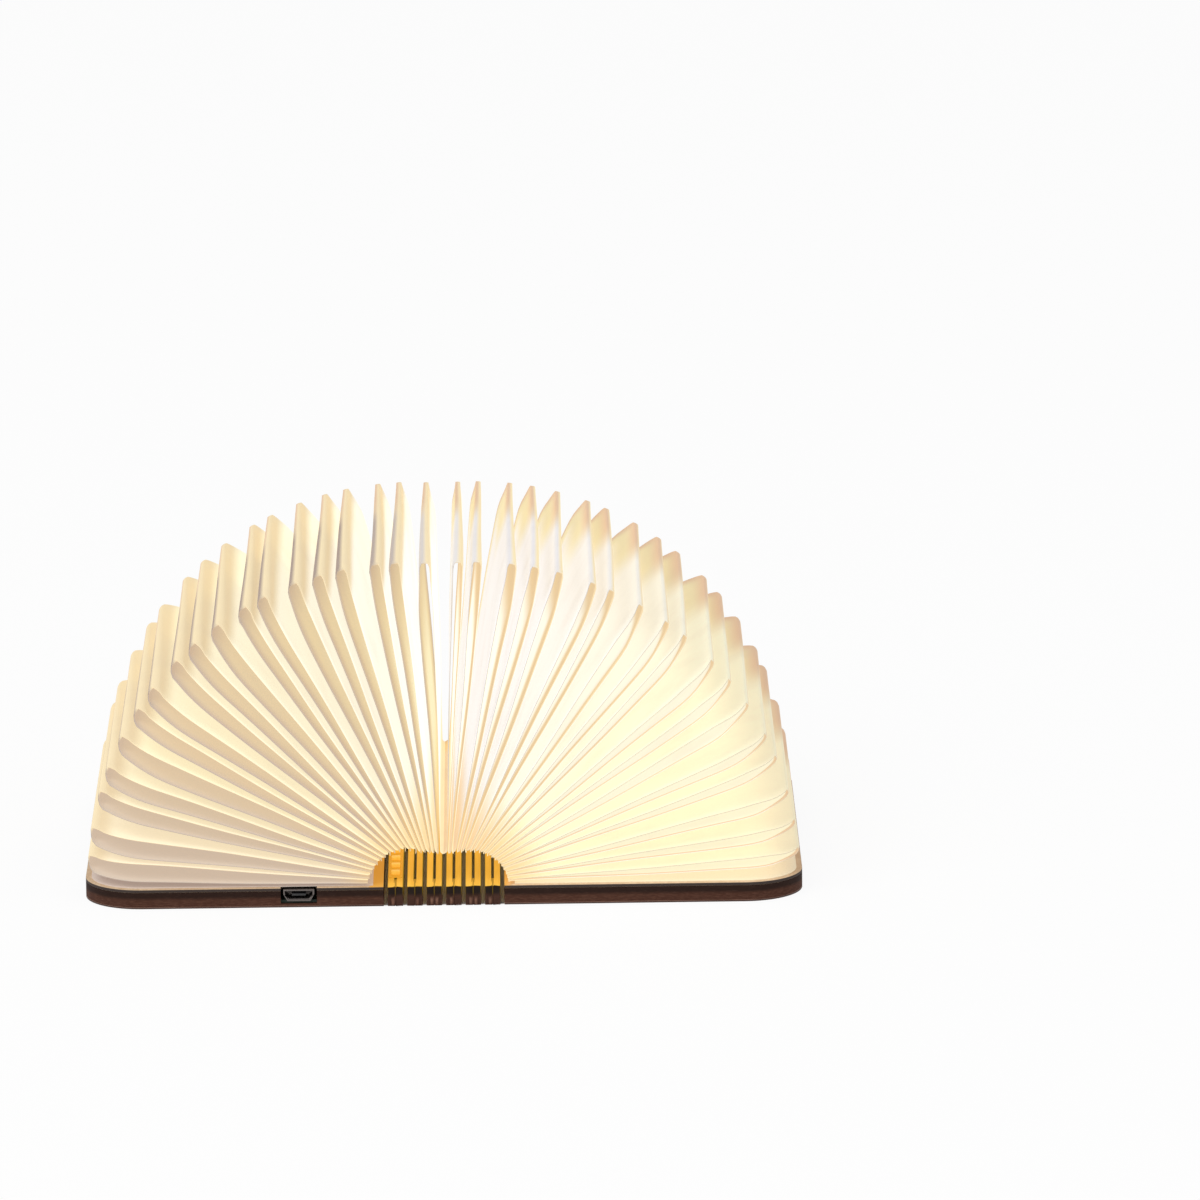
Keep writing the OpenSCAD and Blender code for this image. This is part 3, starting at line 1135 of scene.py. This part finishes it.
    def face_outwards(self, bm: Mesh, plane: PleatPlane) -> None:
        """Turns the sheets' faces away from the pleat's middle plane.

        Args:
            bm: The pleat's mesh, before it is thickened.
            plane: Where it stands.
        """
        votes = 0.0
        for face in bm.faces:
            offset = (face.calc_center_median() - plane.base).dot(plane.across)
            votes += offset * face.normal.dot(plane.across) * face.calc_area()
        if votes < 0:
            bmesh.ops.reverse_faces(bm, faces=bm.faces[:])

    def settle_sides(self, bm: Mesh, plane: PleatPlane,
                     inside: bmesh.types.BMLayerItem) -> None:
        """Swaps the inside mark if the wall grew outwards.

        Args:
            bm: The thickened mesh.
            plane: Where it stands.
            inside: The layer that holds the mark.
        """
        spread: dict[bool, list[float]] = {True: [], False: []}
        for vert in bm.verts:
            spread[vert[inside] > 0.5].append(abs((vert.co - plane.base).dot(plane.across)))
        marked, plain = (sum(spread[key]) / len(spread[key]) for key in (True, False))
        if marked > plain:
            for vert in bm.verts:
                vert[inside] = 1.0 - vert[inside]


# Spine


@dataclass
class LatticeSpine:
    """Six slats cut as a lattice: open cuts between them, and a slot inside each."""

    slot_w: float = 0.6 * MM
    slot_end: float = 8.0 * MM
    bridge_half: float = 4.0 * MM
    edge_w: float = 0.12 * MM
    edge_deg: float = 60.0
    bar_steps: int = 14

    def build(self) -> None:
        """Makes four bars for each slat."""
        for slat in range(1, len(SIZES.fold_x)):
            for side in Side:
                for end in (-1, 1):
                    self.make_bar(slat, side, end)

    def make_bar(self, slat: int, side: Side, end: int) -> None:
        """Makes a quarter of a slat: one bar from the slat's end to its bridge at mid depth.

        Args:
            slat: The slat's number, from the left.
            side: Which of its two bars.
            end: -1 for the front half, 1 for the back half.
        """
        fold = SIZES.fold_x[slat - 1 if side is Side.LEFT else slat]
        middle = (SIZES.fold_x[slat - 1] + SIZES.fold_x[slat]) / 2
        outermost = fold in (SIZES.fold_x[0], SIZES.fold_x[-1])
        sign = side.value
        cut_x = fold - sign * SIZES.half_gap
        slot_x = middle + sign * self.slot_w / 2
        bridge_x = fold + sign * SIZES.half_gap if outermost else fold
        length = SIZES.half_depth
        bm = bmesh.new()
        self.add_run(bm, cut_x, slot_x, 0.0, length, self.bar_steps)
        self.add_run(bm, slot_x, middle, length - self.slot_end, length, 2)
        self.add_run(bm, bridge_x, cut_x, 0.0, self.bridge_half, 1)
        bmesh.ops.scale(bm, vec=(1.0, float(end), 1.0), verts=bm.verts)
        bmesh.ops.remove_doubles(bm, verts=bm.verts, dist=1e-6)
        self.drop_inner_faces(bm)
        bmesh.ops.recalc_face_normals(bm, faces=bm.faces)
        ease_edges(bm, self.edge_w, 1, self.edge_deg)
        name = f"slat_{slat}_{side.word}_{'front' if end < 0 else 'back'}_bar"
        piece = link_piece(bm, name, SLAT)
        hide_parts(f"spine_slat_{slat}")
        self.bend(piece, slat, side, end, outermost)
        LOG.info("%s bends between the slats", name)

    def add_run(self, bm: Mesh, x_a: float, x_b: float, y_a: float, y_b: float,
                steps: int) -> None:
        """Adds a straight run of wood as thick as the slat.

        Args:
            bm: The mesh to add to.
            x_a: One side.
            x_b: The other side.
            y_a: Where it starts.
            y_b: Where it ends.
            steps: Number of pieces that it is cut across into, so that it can bend.
        """
        low_x, high_x = sorted((x_a, x_b))
        made = box_piece(bm, (low_x, y_a, 0.0), (high_x, y_b, SIZES.cover_top))
        lengthwise = {e for v in made for e in v.link_edges
                      if abs(e.verts[0].co.y - e.verts[1].co.y) > 0.5 * (y_b - y_a)}
        if steps > 1:
            bmesh.ops.subdivide_edges(bm, edges=list(lengthwise), cuts=steps - 1,
                                      use_grid_fill=True)

    def drop_inner_faces(self, bm: Mesh) -> None:
        """Removes the faces that two runs share, both copies of each.

        Args:
            bm: The bar's mesh, its doubles merged.
        """
        seen: dict[frozenset, bmesh.types.BMFace] = {}
        doubled = []
        for face in bm.faces:
            key = frozenset(face.verts)
            if key in seen:
                doubled += [face, seen[key]]
            seen[key] = face
        if doubled:
            bmesh.ops.delete(bm, geom=doubled, context="FACES")

    def bend(self, piece: bpy.types.Object, slat: int, side: Side, end: int, outermost: bool
             ) -> None:
        """Leaves most bars where they were made, on no body.

        No joint crosses the seventh cut, so the last slat's right-hand bars only ride.

        Args:
            piece: The bar.
            slat: Its slat's number.
            side: Which of the slat's bars it is.
            end: -1 for the front half, 1 for the back half. Not used.
            outermost: Whether it stands next to a cover. Not used.
        """
        own = f"slat_{slat}"
        count = len(SIZES.fold_x) - 1
        neighbour = slat + side.value
        if neighbour > count:
            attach(piece, own)
            return
        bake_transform(piece)


# Covers and what they hold


@dataclass
class EasedPieces:
    """Pieces that keep their CAD shape, with rounded edges.

    Each row holds a node, its finish, the rounding in mm and the faces across it.
    """

    rows: Sequence[tuple[str, Finish, float, int]] = ()

    def build(self) -> None:
        """Dresses each piece."""
        for node, finish, edge_mm, segments in self.rows:
            eased_copy(node, finish, edge_mm * MM, segments)


@dataclass
class Covers(EasedPieces):
    """Boards, veneers and lining cards of both covers."""

    rows: Sequence[tuple[str, Finish, float, int]] = tuple(
        (f"{side.word}_cover_{layer}", *rest) for side in Side for layer, *rest in (
            ("board", BURNT, 0.10, 1), ("veneer", WALNUT, 0.12, 2), ("liner", LINING, 0.12, 2)))


@dataclass
class PowerGear(EasedPieces):
    """Battery, leads, board, inlet and magnets inside the covers."""

    rows: Sequence[tuple[str, Finish, float, int]] = (
        ("battery", POUCH, 0.8, 4),
        ("battery_leads", LEAD_RED, 0.05, 1),
        ("control_board", BOARD_GREEN, 0.08, 1),
        ("board_parts", CHIP, 0.12, 2),
        ("usb_shell", INLET_STEEL, 0.06, 2),
        ("usb_tongue", INLET_PLASTIC, 0.08, 2),
        ("left_magnets", NICKEL, 0.2, 3),
        ("right_magnets", NICKEL, 0.2, 3))


@dataclass
class LightStrip(EasedPieces):
    """The LED strip on the first slat."""

    rows: Sequence[tuple[str, Finish, float, int]] = (
        ("led_strip", FILM, 0.04, 1), ("leds", LED_LENS, 0.15, 2))


# Studio


@dataclass
class Studio:
    """Pale floor, soft light and the camera at the photograph's viewing angle."""

    azimuth_deg: float = 0.40
    elevation_deg: float = 13.57
    roll_deg: float = 0.64
    distance: float = 2.723
    turn_z: float = 0.040
    aim_x: float = 0.04144
    aim_z: float = 0.06589
    pixels_per_m: float = 3818.9
    image_px: float = 1200.0
    sensor_mm: float = 36.0
    floor_radius: float = 6.0
    floor_white: float = 0.92
    spine_x: Span = (0.0165, 0.0175)
    spine_y: Span = (0.0595, 0.0610)
    fill_strength: float = 0.50
    light_size: float = 1.6
    light_aim: Sequence[float] = (0.0, 0.0, 0.04)
    lights: Sequence[tuple[str, Sequence[float], float]] = (
        ("key", (-1.2, -1.3, 1.6), 26.0), ("fill", (1.5, -1.4, 1.1), 8.0))

    def build(self) -> None:
        """Makes the whole studio."""
        self.make_camera()
        self.make_floor()
        self.make_world()
        for name, place, power in self.lights:
            self.make_area(name, place, power)
        bpy.context.scene.view_settings.view_transform = "Standard"

    def make_camera(self) -> None:
        """Puts the camera where the photograph was taken from."""
        azimuth, elevation = math.radians(self.azimuth_deg), math.radians(self.elevation_deg)
        back = Vector((math.sin(azimuth) * math.cos(elevation),
                       -math.cos(azimuth) * math.cos(elevation), math.sin(elevation)))
        place = Vector((0.0, 0.0, self.turn_z)) + back * self.distance
        look = (Vector((self.aim_x, 0.0, self.aim_z)) - place).normalized()
        data = bpy.data.cameras.new("photo_camera")
        data.sensor_width = self.sensor_mm
        data.lens = self.sensor_mm * self.pixels_per_m * self.distance / self.image_px
        data.clip_end = 20.0
        camera = bpy.data.objects.new("photo_camera", data)
        turn = look.to_track_quat("-Z", "Y").to_matrix().to_4x4()
        roll = Matrix.Rotation(math.radians(-self.roll_deg), 4, "Z")
        camera.matrix_world = Matrix.Translation(place) @ turn @ roll
        bpy.context.scene.collection.objects.link(camera)
        bpy.context.scene.camera = camera

    def make_floor(self) -> None:
        """A wide pale table that keeps the lamp's soft shadow, unwhitened under the spine."""
        bm = bmesh.new()
        bmesh.ops.create_circle(bm, cap_ends=True, radius=self.floor_radius, segments=64)
        mesh = bpy.data.meshes.new("pale_floor")
        bm.to_mesh(mesh)
        bm.free()
        floor = bpy.data.objects.new("pale_floor", mesh)
        bpy.context.scene.collection.objects.link(floor)
        graph = Graph("pale_floor")
        graph.set(Base_Color=(0.93, 0.93, 0.93), Roughness=0.9)
        x, y, _ = graph.split(graph.place())
        beside = graph.ease(graph.math("ABSOLUTE", x), *self.spine_x)
        beyond = graph.ease(graph.math("ABSOLUTE", y), *self.spine_y)
        clear = graph.math("MAXIMUM", beside, beyond)
        self.whiten(graph, graph.times(clear, self.floor_white))
        mesh.materials.append(graph.material)

    def whiten(self, graph: Graph, share: Feed) -> None:
        """Lets the camera and reflections see a surface nearly white.

        Args:
            graph: The surface's graph.
            share: How much plain white covers the lit surface.
        """
        path = graph.node("ShaderNodeLightPath")
        seen = graph.math("MAXIMUM", path.outputs["Is Camera Ray"],
                          graph.math("MAXIMUM", path.outputs["Is Glossy Ray"],
                                     path.outputs["Is Transmission Ray"]))
        white = graph.node("ShaderNodeEmission")
        graph.feed(white.inputs["Color"], WHITE)
        mixed = graph.node("ShaderNodeMixShader")
        graph.feed(mixed.inputs[0], graph.times(seen, share))
        graph.feed(mixed.inputs[1], graph.shader.outputs["BSDF"])
        graph.feed(mixed.inputs[2], white.outputs["Emission"])
        output = next(n for n in graph.tree.nodes if n.type == "OUTPUT_MATERIAL")
        graph.feed(output.inputs["Surface"], mixed.outputs["Shader"])

    def make_world(self) -> None:
        """A white surround for the camera, and soft fill light for the lamp."""
        world = bpy.data.worlds.new("studio")
        bpy.context.scene.world = world
        world.use_nodes = True
        tree = world.node_tree
        tree.nodes.clear()
        path = tree.nodes.new("ShaderNodeLightPath")
        seen = tree.nodes.new("ShaderNodeMath")
        seen.operation = "MAXIMUM"
        tree.links.new(path.outputs["Is Camera Ray"], seen.inputs[0])
        tree.links.new(path.outputs["Is Glossy Ray"], seen.inputs[1])
        mixed = tree.nodes.new("ShaderNodeMixShader")
        tree.links.new(seen.outputs[0], mixed.inputs[0])
        for slot, strength in ((1, self.fill_strength), (2, 1.0)):
            surround = tree.nodes.new("ShaderNodeBackground")
            surround.inputs["Color"].default_value = (*WHITE, 1.0)
            surround.inputs["Strength"].default_value = strength
            tree.links.new(surround.outputs[0], mixed.inputs[slot])
        output = tree.nodes.new("ShaderNodeOutputWorld")
        tree.links.new(mixed.outputs[0], output.inputs["Surface"])

    def make_area(self, name: str, place: Sequence[float], power: float) -> None:
        """Adds a square area light that faces the lamp.

        Args:
            name: The light's name.
            place: Where it stands.
            power: Its power in watts.
        """
        data = bpy.data.lights.new(name, "AREA")
        data.shape = "SQUARE"
        data.size = self.light_size
        data.energy = power
        light = bpy.data.objects.new(name, data)
        aim = Vector(self.light_aim) - Vector(place)
        turn = aim.to_track_quat("-Z", "Y").to_matrix().to_4x4()
        light.matrix_world = Matrix.Translation(place) @ turn
        bpy.context.scene.collection.objects.link(light)


def main() -> None:
    """Builds the lamp's pieces in order."""
    logging.basicConfig(level=logging.INFO, format="%(name)s: %(message)s")
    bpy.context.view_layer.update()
    Studio().build()
    for assembly in (PaperFan(), LatticeSpine(), Covers(), PowerGear(), LightStrip()):
        assembly.build()
        LOG.info("%s is built", type(assembly).__name__)


if __name__ == "__main__":
    main()
